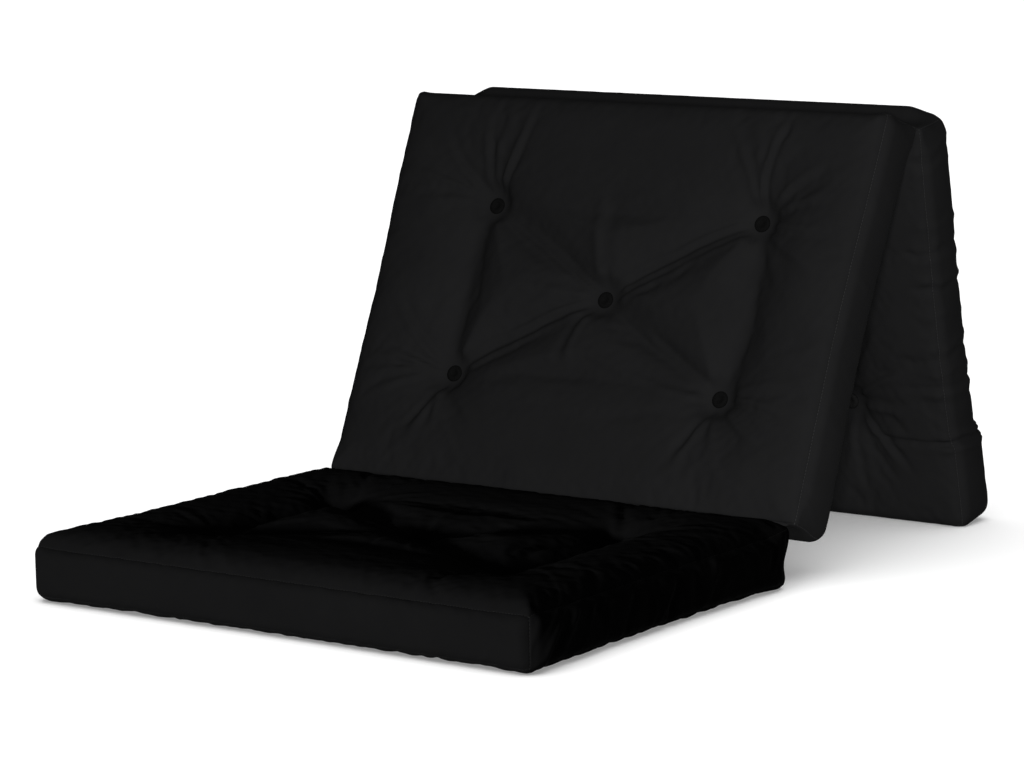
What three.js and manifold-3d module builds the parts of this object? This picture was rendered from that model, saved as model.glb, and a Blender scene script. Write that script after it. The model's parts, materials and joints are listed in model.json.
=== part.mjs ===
// A folding futon mattress of three tufted sections, standing as a floor chair.
// Millimetres, +Z up, +Y towards the rear, +X to the right of the person sitting on it.
// The front section is the seat. The back stands on its rear edge, and the prop hangs behind the back.
// Every section is cut and sewn alike: a face and an under cover, four boxing strips, two layers of
// batting round a foam core, and five tufts that are tied right through it.
import * as THREE from 'three';
import { mergeVertices } from 'three/addons/utils/BufferGeometryUtils.js';
import Module from 'manifold-3d';

const wasm = await Module();
wasm.setup();

// The sections
const WIDTH = 900;
const FOLD_PITCH = 666.7; // from one fold's axis to the next
const THICKNESS = 92;
const FOLD_GAP = 1.5; // from each section's edge to its fold's axis
const BACK_LEAN = 26; // degrees from upright

// The layers
const COTTON = 1.5; // thickness of the cover cotton
const BEVEL = 5; // where a cover turns down to its boxing
const BATTING = 28; // loose batting over and under the core
const PRESSED_BATTING = 4; // what a tuft leaves of it
const DENT_SHARE = 0.34; // how far a tuft dents each face of the core, as a share of the core's thickness
const EDGE_BATTING = 24; // batting wrapped round the core's edges
const GAP = 0.3; // between pieces that touch

// The tufts
const TUFT_SPACING_X = 506;
const TUFT_SPACING_Y = 286;
const DIMPLE_RADIUS = 62;
const BUTTON_DIAMETER = 27;
const BUTTON_HEIGHT = 6;
const TWINE_DIAMETER = 3;

const SECTION_LENGTH = FOLD_PITCH - 2 * FOLD_GAP;
const CORE_LEVEL = COTTON + GAP + BATTING + GAP; // from either face of the section to the core
const FOAM_DENT = DENT_SHARE * (THICKNESS - 2 * CORE_LEVEL);
const DIMPLE_DEPTH = BATTING - PRESSED_BATTING + FOAM_DENT;
const CORE_INSET = COTTON + GAP + EDGE_BATTING + GAP;
const LINING_INSET = COTTON + GAP; // from the outside of the cover to the batting
const SEAM_RADIUS = (BEVEL + 2 * FOLD_GAP) / Math.SQRT2 - GAP; // fills the groove between two bevels

// Roundness of turned pieces
const DIMPLE_SIDES = 10;
const BUTTON_SIDES = 8; // and of the twine and its holes
const SEAM_SIDES = 12;
const DIMPLE_STEPS = 2; // straight steps in the flare of a dimple

const MATERIALS = {
  cover: new THREE.MeshStandardMaterial({ color: 0x1a1a1b, roughness: 0.95, metalness: 0 }),
  boxing: new THREE.MeshStandardMaterial({ color: 0x171718, roughness: 0.95, metalness: 0 }),
  batting: new THREE.MeshStandardMaterial({ color: 0xe6e0d2, roughness: 1, metalness: 0 }),
  foam: new THREE.MeshStandardMaterial({ color: 0xdccb96, roughness: 0.9, metalness: 0 }),
  button: new THREE.MeshStandardMaterial({ color: 0x101011, roughness: 0.85, metalness: 0 }),
  twine: new THREE.MeshStandardMaterial({ color: 0x242425, roughness: 0.9, metalness: 0 }),
  seam: new THREE.MeshStandardMaterial({ color: 0x131314, roughness: 0.95, metalness: 0 }),
};

// Booleans

function solid(geometry) {
  const bare = geometry.clone();
  bare.deleteAttribute('normal');
  bare.deleteAttribute('uv');
  const merged = mergeVertices(bare);
  return new wasm.Manifold(
    new wasm.Mesh({
      numProp: 3,
      vertProperties: merged.attributes.position.array,
      triVerts: new Uint32Array(merged.index.array),
    }),
  );
}

function geometryOf(body) {
  const { vertProperties, triVerts } = body.getMesh();
  const geometry = new THREE.BufferGeometry();
  geometry.setAttribute('position', new THREE.BufferAttribute(vertProperties, 3));
  geometry.setIndex(new THREE.BufferAttribute(triVerts, 1));
  return geometry;
}

// Shapes in a section's own frame: centred on X and Y, from height 0 to THICKNESS

function slab(width, length, low, high) {
  const box = new THREE.BoxGeometry(width, length, high - low);
  box.translate(0, 0, (low + high) / 2);
  return box;
}

// The whole section, taken in by `inset` on every side, with bevels along its level edges.
function envelope(inset) {
  const halfWidth = WIDTH / 2 - inset;
  const halfLength = SECTION_LENGTH / 2 - inset;
  const bevel = BEVEL - (2 - Math.SQRT2) * inset; // keeps a wall even over the bevel
  const outline = new THREE.Shape([
    new THREE.Vector2(-halfWidth, -halfLength),
    new THREE.Vector2(halfWidth, -halfLength),
    new THREE.Vector2(halfWidth, halfLength),
    new THREE.Vector2(-halfWidth, halfLength),
  ]);
  const body = new THREE.ExtrudeGeometry(outline, {
    depth: THICKNESS - 2 * inset - 2 * bevel,
    bevelEnabled: true,
    bevelSegments: 1,
    bevelThickness: bevel,
    bevelSize: bevel,
    bevelOffset: -bevel,
  });
  body.translate(0, 0, inset + bevel);
  return solid(body);
}

// A bowl in a level surface, `offset` away from it and filled up to `top`.
// It flares like a trumpet: steep beside the button and level where it meets the surface.
function bowlIn(surface, depth, offset, top) {
  const seat = BUTTON_DIAMETER / 2 + 1;
  const outline = [new THREE.Vector2(0, surface - depth - offset)];
  for (let step = 0; step <= DIMPLE_STEPS; step += 1) {
    const share = step / DIMPLE_STEPS;
    const radius = seat + (DIMPLE_RADIUS - seat) * share;
    outline.push(new THREE.Vector2(radius + offset, surface - depth * (1 - share) ** 2 - offset));
  }
  outline.push(new THREE.Vector2(DIMPLE_RADIUS + offset, top));
  outline.push(new THREE.Vector2(0, top));
  const bowl = new THREE.LatheGeometry(outline, DIMPLE_SIDES);
  bowl.rotateX(Math.PI / 2);
  return bowl;
}

// What a tuft pulls into the face, away from the cover's outer surface.
function dimple(offset, top) {
  return bowlIn(THICKNESS, DIMPLE_DEPTH, offset, top);
}

// What it presses into the core.
function dent(offset, top) {
  return bowlIn(THICKNESS - CORE_LEVEL, FOAM_DENT, offset, top);
}

function twineHole() {
  const hole = new THREE.CylinderGeometry(
    TWINE_DIAMETER / 2 + GAP,
    TWINE_DIAMETER / 2 + GAP,
    2 * THICKNESS,
    BUTTON_SIDES,
  );
  hole.rotateX(Math.PI / 2);
  hole.translate(0, 0, THICKNESS / 2);
  return hole;
}

// Four tufts at the corners of a rectangle and one in the middle, as the places of their centres.
function tuftPlaces() {
  const x = TUFT_SPACING_X / 2;
  const y = TUFT_SPACING_Y / 2;
  return [
    [-x, -y],
    [x, -y],
    [0, 0],
    [-x, y],
    [x, y],
  ];
}

function atTufts(body, geometry, operation) {
  return tuftPlaces().reduce((result, [x, y]) => {
    const placed = geometry.clone();
    placed.translate(x, y, 0);
    return result[operation](solid(placed));
  }, body);
}

// The pieces of one section. An under piece is its face piece turned over about the Y axis.

function coverGeometry() {
  const above = THICKNESS + BEVEL;
  const casing = envelope(0).subtract(envelope(COTTON));
  const cap = casing.intersect(solid(slab(2 * WIDTH, 2 * FOLD_PITCH, THICKNESS - BEVEL, above)));
  const bowls = atTufts(cap, dimple(COTTON, THICKNESS - COTTON / 2), 'add');
  const hollowed = atTufts(bowls, dimple(0, above), 'subtract');
  return geometryOf(atTufts(hollowed, twineHole(), 'subtract'));
}

function battingGeometry() {
  const above = THICKNESS + BEVEL;
  const middle = THICKNESS / 2;
  const filling = envelope(LINING_INSET);
  const half = filling.intersect(solid(slab(2 * WIDTH, 2 * FOLD_PITCH, middle + GAP / 2, above)));
  const recess = slab(
    WIDTH - 2 * (CORE_INSET - GAP),
    SECTION_LENGTH - 2 * (CORE_INSET - GAP),
    middle - THICKNESS,
    THICKNESS - CORE_LEVEL + GAP,
  );
  const wrapped = half.subtract(solid(recess));
  const pressed = atTufts(wrapped, dent(-GAP, THICKNESS - CORE_LEVEL + PRESSED_BATTING), 'add');
  const dimpled = atTufts(pressed, dimple(LINING_INSET, above), 'subtract');
  return geometryOf(atTufts(dimpled, twineHole(), 'subtract'));
}

function coreGeometry() {
  const core = slab(
    WIDTH - 2 * CORE_INSET,
    SECTION_LENGTH - 2 * CORE_INSET,
    CORE_LEVEL,
    THICKNESS - CORE_LEVEL,
  );
  const dented = atTufts(solid(core), dent(0, THICKNESS), 'subtract');
  const turned = dented.rotate([0, 180, 0]).translate([0, 0, THICKNESS]);
  const dentedTwice = atTufts(turned, dent(0, THICKNESS), 'subtract');
  return geometryOf(atTufts(dentedTwice, twineHole(), 'subtract'));
}

const BOXING_LOW = BEVEL + GAP;
const BOXING_HIGH = THICKNESS - BEVEL - GAP;

function sideBoxingGeometry() {
  return slab(COTTON, SECTION_LENGTH, BOXING_LOW, BOXING_HIGH);
}

function endBoxingGeometry() {
  return slab(WIDTH - 2 * COTTON - 2 * GAP, COTTON, BOXING_LOW, BOXING_HIGH);
}

// A dished button with a bore for its twine, its seat at height 0.
function buttonGeometry() {
  const bore = TWINE_DIAMETER / 2 + GAP;
  const radius = BUTTON_DIAMETER / 2;
  const button = new THREE.LatheGeometry(
    [
      new THREE.Vector2(bore, 0),
      new THREE.Vector2(radius, 0),
      new THREE.Vector2(radius, BUTTON_HEIGHT / 2),
      new THREE.Vector2(radius * 0.8, BUTTON_HEIGHT),
      new THREE.Vector2(bore, BUTTON_HEIGHT * 0.6),
      new THREE.Vector2(bore, 0),
    ],
    BUTTON_SIDES,
  );
  button.rotateX(Math.PI / 2);
  return button;
}

// The twine from button to button, with the under button that it is knotted to.
function tieGeometry() {
  const radius = BUTTON_DIAMETER / 2;
  const twine = TWINE_DIAMETER / 2;
  const seat = DIMPLE_DEPTH - GAP;
  const end = THICKNESS - DIMPLE_DEPTH + GAP + BUTTON_HEIGHT * 0.5;
  const tie = new THREE.LatheGeometry(
    [
      new THREE.Vector2(0, seat - BUTTON_HEIGHT * 0.6),
      new THREE.Vector2(radius * 0.8, seat - BUTTON_HEIGHT),
      new THREE.Vector2(radius, seat - BUTTON_HEIGHT / 2),
      new THREE.Vector2(radius, seat),
      new THREE.Vector2(twine, seat),
      new THREE.Vector2(twine, end),
      new THREE.Vector2(0, end),
    ],
    BUTTON_SIDES,
  );
  tie.rotateX(Math.PI / 2);
  return tie;
}

// The rolled seam that joins two covers along a fold.
function foldSeamGeometry() {
  const seam = new THREE.CylinderGeometry(SEAM_RADIUS, SEAM_RADIUS, WIDTH - 2 * BEVEL, SEAM_SIDES);
  seam.rotateZ(Math.PI / 2);
  return seam;
}

const SHAPES = {
  cover: coverGeometry(),
  batting: battingGeometry(),
  core: coreGeometry(),
  sideBoxing: sideBoxingGeometry(),
  endBoxing: endBoxingGeometry(),
  button: buttonGeometry(),
  tie: tieGeometry(),
  foldSeam: foldSeamGeometry(),
};

function piece(name, geometry, material, x, y, z) {
  const mesh = new THREE.Mesh(geometry, MATERIALS[material]);
  mesh.name = name;
  mesh.position.set(x, y, z);
  return mesh;
}

function turnedOver(mesh) {
  mesh.rotation.y = Math.PI;
  mesh.position.z = THICKNESS;
  return mesh;
}

// One section lying flat: its near end at Y = FOLD_GAP, its under face at Z = 0.
function section(name, nearEnd, farEnd) {
  const group = new THREE.Group();
  const sideX = (WIDTH - COTTON) / 2;
  const endY = (SECTION_LENGTH - COTTON) / 2;
  group.add(
    piece(`${name}_face_cover`, SHAPES.cover, 'cover', 0, 0, 0),
    turnedOver(piece(`${name}_under_cover`, SHAPES.cover, 'cover', 0, 0, 0)),
    piece(`${name}_left_boxing`, SHAPES.sideBoxing, 'boxing', -sideX, 0, 0),
    piece(`${name}_right_boxing`, SHAPES.sideBoxing, 'boxing', sideX, 0, 0),
    piece(`${name}_${nearEnd}_boxing`, SHAPES.endBoxing, 'boxing', 0, -endY, 0),
    piece(`${name}_${farEnd}_boxing`, SHAPES.endBoxing, 'boxing', 0, endY, 0),
    piece(`${name}_face_batting`, SHAPES.batting, 'batting', 0, 0, 0),
    turnedOver(piece(`${name}_under_batting`, SHAPES.batting, 'batting', 0, 0, 0)),
    piece(`${name}_foam_core`, SHAPES.core, 'foam', 0, 0, 0),
  );
  const buttonSeat = THICKNESS - DIMPLE_DEPTH + GAP;
  tuftPlaces().forEach(([x, y], index) => {
    group.add(
      piece(`${name}_tuft_button_${index + 1}`, SHAPES.button, 'button', x, y, buttonSeat),
      piece(`${name}_tuft_tie_${index + 1}`, SHAPES.tie, 'twine', x, y, 0),
    );
  });
  group.position.y = FOLD_GAP + SECTION_LENGTH / 2;
  return group;
}

// Angle of the prop from upright that lets its lowest edge just reach the floor.
// Where the rear fold is higher than the prop is long, the prop hangs straight down instead.
function propLean(lean) {
  const foldHeight =
    THICKNESS + FOLD_GAP + FOLD_PITCH * Math.cos(lean) - (THICKNESS + 2 * FOLD_GAP) * Math.sin(lean);
  const along = FOLD_PITCH - FOLD_GAP; // from the rear fold to the prop's foot
  const across = BEVEL + FOLD_GAP; // from the rear fold to the edge that stands on the floor
  const reach = Math.hypot(along, across);
  const hangsFree = foldHeight > reach;
  return hangsFree ? 0 : Math.acos(foldHeight / reach) - Math.atan2(across, along);
}

const lean = THREE.MathUtils.degToRad(BACK_LEAN);

const seat = section('seat', 'front', 'rear');
const back = section('back', 'bottom', 'top');
const prop = section('prop', 'top', 'foot');

// The front fold's axis is over the seat's rear edge. The back turns up about it.
const frontFold = new THREE.Group();
frontFold.position.set(0, FOLD_PITCH, THICKNESS + FOLD_GAP);
frontFold.rotation.x = Math.PI / 2 - lean;
back.position.z = -(THICKNESS + FOLD_GAP);

// The rear fold's axis is behind the back's top edge. The prop hangs from it.
const rearFold = new THREE.Group();
rearFold.position.set(0, FOLD_PITCH, -(THICKNESS + 2 * FOLD_GAP));
rearFold.rotation.x = -(Math.PI - lean - propLean(lean));
prop.position.z = FOLD_GAP;

const mattress = new THREE.Group();
mattress.add(seat, frontFold);
frontFold.add(back, rearFold);
rearFold.add(prop);
frontFold.add(piece('front_fold_seam', SHAPES.foldSeam, 'seam', 0, 0, 0));
rearFold.add(piece('rear_fold_seam', SHAPES.foldSeam, 'seam', 0, 0, 0));

// The origin is on the floor, under the middle of the whole chair.
const box = new THREE.Box3().setFromObject(mattress, true);
mattress.position.y = -(box.min.y + box.max.y) / 2;

const futonMattress = new THREE.Group();
futonMattress.add(mattress);

export default futonMattress;
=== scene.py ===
import json
import math

import bpy
import numpy as np
from mathutils import Matrix, Vector

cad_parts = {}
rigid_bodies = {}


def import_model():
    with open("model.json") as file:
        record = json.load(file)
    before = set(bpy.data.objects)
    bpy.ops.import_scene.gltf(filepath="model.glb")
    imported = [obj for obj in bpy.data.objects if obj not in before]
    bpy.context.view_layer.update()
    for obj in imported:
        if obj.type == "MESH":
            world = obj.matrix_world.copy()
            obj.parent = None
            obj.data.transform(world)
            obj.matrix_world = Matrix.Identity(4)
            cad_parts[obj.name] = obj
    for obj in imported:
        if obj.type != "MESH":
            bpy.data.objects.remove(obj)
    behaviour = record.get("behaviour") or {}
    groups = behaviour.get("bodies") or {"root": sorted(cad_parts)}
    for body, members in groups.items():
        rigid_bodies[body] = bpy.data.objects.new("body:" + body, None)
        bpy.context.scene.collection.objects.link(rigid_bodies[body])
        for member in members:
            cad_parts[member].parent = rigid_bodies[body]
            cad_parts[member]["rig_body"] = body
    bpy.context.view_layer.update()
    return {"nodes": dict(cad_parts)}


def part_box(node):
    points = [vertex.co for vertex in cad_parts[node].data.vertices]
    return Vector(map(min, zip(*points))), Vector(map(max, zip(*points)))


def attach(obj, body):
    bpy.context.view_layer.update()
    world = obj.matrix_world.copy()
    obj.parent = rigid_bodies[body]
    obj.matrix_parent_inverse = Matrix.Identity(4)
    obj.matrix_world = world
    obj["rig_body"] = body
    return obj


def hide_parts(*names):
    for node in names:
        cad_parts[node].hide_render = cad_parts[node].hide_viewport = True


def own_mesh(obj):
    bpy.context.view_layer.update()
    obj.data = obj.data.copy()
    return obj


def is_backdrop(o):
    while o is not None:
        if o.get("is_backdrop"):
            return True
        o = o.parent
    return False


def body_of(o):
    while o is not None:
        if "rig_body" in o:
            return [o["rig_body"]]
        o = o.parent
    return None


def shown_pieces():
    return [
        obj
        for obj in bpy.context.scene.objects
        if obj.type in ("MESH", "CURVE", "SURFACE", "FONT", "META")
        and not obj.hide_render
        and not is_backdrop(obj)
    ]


# A folding futon mattress in black cotton: three tufted sections, joined by two sewn folds.
# Metres. Each section is shaped in a frame of its own, centred on it: X across, Y along, Z through its
# thickness with the face on the +Z side. It is then laid into the place that its CAD strips give it.

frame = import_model()

# Driving sizes of the soft shape
EDGE_ROUND = 0.022  # radius of the padded edges
FOLD_ROUND = 0.008  # radius of the two edges that a fold joins
SEAM_SINK = 0.0007  # how far a seam lies below the cloth beside it
SEAM_WIDTH = 0.0013  # half the width of that groove
SWELL_SHARE = 0.20  # share of the simulated swelling that is kept on top of the pillows
SWELL_LEVEL = 0.018  # the swelling that counts as level
UNDER_CROWN = 0.0010  # how far the under side, which folds against its neighbour, may stand out
EDGE_PULL = 0.35  # share of the simulated drawing-in of the sides that is kept
CLOTH_CELL = 0.0094  # grid of the simulated cloth
FINE_CELL = 0.0047  # grid of the finished cloth
# extra rows of the finished cloth, in from each edge
EDGE_ROWS = (0.0012, 0.0026, 0.0044, 0.0066, 0.0092, 0.0122, 0.0156, 0.0196)
SMOOTHING_ROUNDS = 30  # rounds that part the broad swelling from the wrinkles
SETTLING_STEPS = 22  # steps in which the blown-up cloth comes to rest
CROWN_RISE = 0.030  # how far in from an edge a face's crown has risen
VALLEY_WIDTH = 0.050  # how gently the pillows fall towards the lines between the tufts
BOWL_WIDTH = 0.040  # how wide the hollow round a tuft is
FOLD_FULLNESS = 1.25  # share of their listed height that the pulled folds have
FLOOR_CLEARANCE = 0.0006  # where cloth that lies on the floor stays

# Sewing thread
STITCH_SPACING = 0.0052
STITCH_LENGTH = 0.0034
STITCH_RADIUS = 0.00042

# Tufts
BUTTON_RADIUS = 0.0135
BUTTON_HEIGHT = 0.006
TWINE_RADIUS = 0.0012

# What sets the sections apart. Folds are edges as (end, face side). The crown is how far the face's
# pillows stand above its edges. Gathers are (how wide apart, how far in from the seam, how high).
# Pleats, valleys, chance and wrinkles are strengths, and strip is how high each strip's wrinkles are.
SECTIONS = {
    "seat": {
        "near": "front",
        "far": "rear",
        "seed": 11,
        "folds": (("far", 1),),
        "crown": 0.021,
        "valleys": 1.35,
        "pleats": {"near": 0.7, "far": 0.0, "left": 1.0, "right": 1.0},
        "face_gathers": (0.012, 0.050, 0.0028),
        "under_gathers": (0.020, 0.022, 0.0012),
        "boxing_gathers": (0.016, 0.030, 0.0030),
        "chance": 0.6,
        "wrinkles": 0.8,
        "strip": {"near": 0.0010, "far": 0.0003, "left": 0.0052, "right": 0.0052},
    },
    "back": {
        "near": "bottom",
        "far": "top",
        "seed": 5,
        "folds": (("near", 1), ("far", -1)),
        "crown": 0.010,
        "valleys": 1.6,
        "pleats": {"near": 0.0, "far": 0.2, "left": 1.0, "right": 1.0},
        "face_gathers": (0.016, 0.024, 0.0010),
        "under_gathers": (0.017, 0.030, 0.0018),
        "strip": {"near": 0.0003, "far": 0.0002, "left": 0.0012, "right": 0.0012},
        "wrinkles": 0.5,
        "boxing_gathers": (0.020, 0.018, 0.0008),
        "chance": 1.0,
    },
    "prop": {
        "near": "top",
        "far": "foot",
        "seed": 23,
        "folds": (("near", -1),),
        "crown": 0.012,
        "valleys": 1.0,
        "pleats": {"near": 0.2, "far": 1.0, "left": 1.0, "right": 1.0},
        "face_gathers": (0.016, 0.030, 0.0018),
        "under_gathers": (0.018, 0.026, 0.0012),
        "strip": {"near": 0.0002, "far": 0.0012, "left": 0.0006, "right": 0.0006},
        "wrinkles": 0.6,
        "boxing_gathers": (0.020, 0.018, 0.0006),
        "chance": 1.0,
    },
}


# -------- materials


def new_material(name, roughness, specular):
    """A material, its node tree and its Principled shader."""
    material = bpy.data.materials.new(name)
    material.use_nodes = True
    tree = material.node_tree
    shader = tree.nodes["Principled BSDF"]
    shader.inputs["Roughness"].default_value = roughness
    shader.inputs["Specular IOR Level"].default_value = specular
    return material, tree, shader


def add_node(tree, kind, settings=(), **inputs):
    """A node with its settings and inputs filled in. A name's spaces are written as underscores."""
    node = tree.nodes.new(kind)
    for key, value in dict(settings).items():
        setattr(node, key, value)
    for key, value in inputs.items():
        node.inputs[key.replace("_", " ")].default_value = value
    return node


def two_tones(tree, low, dark, high, light):
    """A ramp from a dark tone at the low place to a light one at the high place."""
    ramp = tree.nodes.new("ShaderNodeValToRGB")
    ends = ramp.color_ramp.elements
    ends[0].position, ends[0].color = low, (*dark, 1)
    ends[1].position, ends[1].color = high, (*light, 1)
    return ramp


def black_cotton():
    """Plain-woven cotton, nearly black, with faint wear and a fine weave."""
    material, tree, shader = new_material("black_cotton", 0.90, 0.006)
    shader.inputs["Sheen Weight"].default_value = 0.001
    shader.inputs["Sheen Roughness"].default_value = 0.5
    link = tree.links.new
    place = add_node(tree, "ShaderNodeTexCoord")
    uv = add_node(tree, "ShaderNodeUVMap", {"uv_map": "cloth"})

    mottle = add_node(tree, "ShaderNodeTexNoise", Scale=9.0, Detail=5.0, Roughness=0.6)
    link(place.outputs["Object"], mottle.inputs["Vector"])
    tone = two_tones(tree, 0.30, (0.0032, 0.0032, 0.0033), 0.72, (0.0037, 0.0037, 0.0038))
    link(mottle.outputs["Fac"], tone.inputs["Fac"])
    link(tone.outputs["Color"], shader.inputs["Base Color"])

    warp = add_node(tree, "ShaderNodeTexWave", {"bands_direction": "X"}, Scale=210.0, Distortion=0.6)
    weft = add_node(tree, "ShaderNodeTexWave", {"bands_direction": "Y"}, Scale=190.0, Distortion=0.6)
    slub = add_node(tree, "ShaderNodeTexNoise", Scale=160.0, Detail=3.0)
    for texture in (warp, weft, slub):
        link(uv.outputs["UV"], texture.inputs["Vector"])
    weave = add_node(tree, "ShaderNodeMath", {"operation": "MULTIPLY"})
    link(warp.outputs["Fac"], weave.inputs[0])
    link(weft.outputs["Fac"], weave.inputs[1])
    threads = add_node(tree, "ShaderNodeMath", {"operation": "ADD"})
    link(weave.outputs[0], threads.inputs[0])
    link(slub.outputs["Fac"], threads.inputs[1])
    relief = add_node(tree, "ShaderNodeBump", Strength=0.16, Distance=0.0004)
    link(threads.outputs[0], relief.inputs["Height"])

    crumple = add_node(tree, "ShaderNodeTexNoise", Scale=26.0, Detail=4.0, Roughness=0.5, Distortion=0.7)
    link(place.outputs["Object"], crumple.inputs["Vector"])
    soft = add_node(tree, "ShaderNodeBump", Strength=0.12, Distance=0.0016)
    link(crumple.outputs["Fac"], soft.inputs["Height"])
    link(relief.outputs["Normal"], soft.inputs["Normal"])
    link(soft.outputs["Normal"], shader.inputs["Normal"])
    return material


def speckled(name, dark, light, roughness, grain, bump):
    """A plain fibrous finish: two close tones mixed by a noise that also raises the surface."""
    material, tree, shader = new_material(name, roughness, 0.02)
    link = tree.links.new
    place = add_node(tree, "ShaderNodeTexCoord")
    noise = add_node(tree, "ShaderNodeTexNoise", Scale=grain, Detail=5.0, Roughness=0.65)
    link(place.outputs["Object"], noise.inputs["Vector"])
    tone = two_tones(tree, 0.32, dark, 0.70, light)
    link(noise.outputs["Fac"], tone.inputs["Fac"])
    link(tone.outputs["Color"], shader.inputs["Base Color"])
    relief = add_node(tree, "ShaderNodeBump", Strength=0.5, Distance=bump)
    link(noise.outputs["Fac"], relief.inputs["Height"])
    link(relief.outputs["Normal"], shader.inputs["Normal"])
    return material


def grey(tone):
    return (tone, tone, tone)


COTTON = black_cotton()
FELT = speckled("black_felt", grey(0.0005), grey(0.0013), 0.95, 700.0, 0.0004)
TWINE = speckled("black_twine", grey(0.0015), grey(0.0035), 0.80, 900.0, 0.0003)
THREAD = speckled("black_thread", grey(0.006), grey(0.014), 0.70, 1500.0, 0.0001)
FOAM = speckled("cream_foam", (0.62, 0.52, 0.30), (0.78, 0.69, 0.45), 0.90, 420.0, 0.0012)


# -------- the grid of a box's surface


class Casing:
    """The grid of cloth round a section: six sides of a box that share their edge points."""

    def __init__(self, xs, ys, zs):
        self.axes = (xs, ys, zs)
        shape = (len(xs), len(ys), len(zs))
        surface = np.zeros(shape, bool)
        for axis in range(3):
            for end in (0, -1):
                side = [slice(None)] * 3
                side[axis] = end
                surface[tuple(side)] = True
        index = np.full(shape, -1)
        index[surface] = np.arange(surface.sum())
        grid = np.stack(np.meshgrid(xs, ys, zs, indexing="ij"), axis=-1)
        self.flat = grid[surface]
        # each side's point numbers, its two axes, and whether u x v points out of the box
        self.sides = {
            "face": (index[:, :, -1], (0, 1), True),
            "under": (index[:, :, 0], (0, 1), False),
            "near": (index[:, 0, :], (0, 2), True),
            "far": (index[:, -1, :], (0, 2), False),
            "left": (index[0, :, :], (1, 2), False),
            "right": (index[-1, :, :], (1, 2), True),
        }
        quads, cloth = [], []
        for grid_of_side, (u, v), outward in self.sides.values():
            a, b = grid_of_side[:-1, :-1], grid_of_side[1:, :-1]
            c, d = grid_of_side[1:, 1:], grid_of_side[:-1, 1:]
            corners = (a, b, c, d) if outward else (a, d, c, b)
            side_quads = np.stack([k.ravel() for k in corners], axis=-1)
            quads.append(side_quads)
            cloth.append(self.flat[side_quads][:, :, [u, v]])
        self.quads = np.concatenate(quads)
        self.cloth = np.concatenate(cloth)


def spaced(length, cell, rows=()):
    """Even steps across a length, with the given extra rows in from both ends."""
    half = length / 2
    steps = max(2, round(length / cell))
    places = np.linspace(-half, half, steps + 1)
    if rows:
        inner = places[np.abs(places) < half - rows[-1] - cell * 0.6]
        ends = np.array([half, *(half - r for r in rows)])
        places = np.sort(np.concatenate([-ends, inner, ends]))
    return places


def placed(name, data):
    """An object for a mesh, a lamp or a camera, put in the scene."""
    obj = bpy.data.objects.new(name, data)
    bpy.context.scene.collection.objects.link(obj)
    return obj


def smooth(mesh):
    mesh.polygons.foreach_set("use_smooth", np.ones(len(mesh.polygons), bool))


def mesh_object(name, points, quads, cloth=None):
    """A smooth mesh of quads, with the cloth's own flat measure as its UV map."""
    mesh = bpy.data.meshes.new(name)
    mesh.from_pydata(points.tolist(), [], quads.tolist())
    smooth(mesh)
    if cloth is not None:
        layer = mesh.uv_layers.new(name="cloth")
        layer.data.foreach_set("uv", cloth.reshape(-1).astype(np.float32))
    mesh.update()
    return placed(name, mesh)


# -------- where each section is


class Section:
    """A section's place and size, read from its CAD nodes."""

    def __init__(self, name):
        facts = SECTIONS[name]
        self.name = name
        self.seed = facts["seed"]
        self.facts = facts
        self.joined = [end for end, _ in facts["folds"]]
        self.node_names = [n for n in frame["nodes"] if n.startswith(name + "_")]
        near = self.middle(f"{name}_{facts['near']}_boxing")
        far = self.middle(f"{name}_{facts['far']}_boxing")
        left, right = (self.middle(f"{name}_{s}_boxing") for s in ("left", "right"))
        along = (far - near).normalized()
        across = (right - left).normalized()
        out = across.cross(along)
        self.centre = (near + far) / 2
        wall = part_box(f"{name}_left_boxing")
        sheet = wall[1][0] - wall[0][0]
        self.width = (right - left).length + sheet
        self.length = (far - near).length + sheet
        self.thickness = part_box("seat_face_cover")[1][2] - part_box("seat_under_cover")[0][2]
        self.half = np.array((self.width, self.length, self.thickness)) / 2
        self.matrix = Matrix((across, along, out)).transposed().to_4x4()
        self.matrix.translation = self.centre
        self.tufts = [self.tuft(i) for i in range(1, 6)]
        core_low, core_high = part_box("seat_foam_core")
        self.core_top = (core_high[2] - core_low[2]) / 2

    @staticmethod
    def middle(node):
        """The middle of a CAD node."""
        low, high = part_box(node)
        return (Vector(low) + Vector(high)) / 2

    def tuft(self, number):
        """Where a tuft's button is, in the section's own frame."""
        return self.matrix.inverted() @ self.middle(f"{self.name}_tuft_button_{number}")

    def world(self, points):
        """Points of the section's own frame, as places in the room."""
        turn = np.array(self.matrix.to_3x3())
        return points @ turn.T + np.array(self.centre)


# -------- cloth simulation


# How the simulated cotton stretches, bends and comes to rest
COTTON_CLOTH = {
    "quality": 6,
    "mass": 0.3,
    "tension_stiffness": 40,
    "compression_stiffness": 40,
    "shear_stiffness": 20,
    "bending_stiffness": 0.12,
    "tension_damping": 15,
    "compression_damping": 15,
    "shear_damping": 15,
    "bending_damping": 2,
    "air_damping": 4,
}


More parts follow.
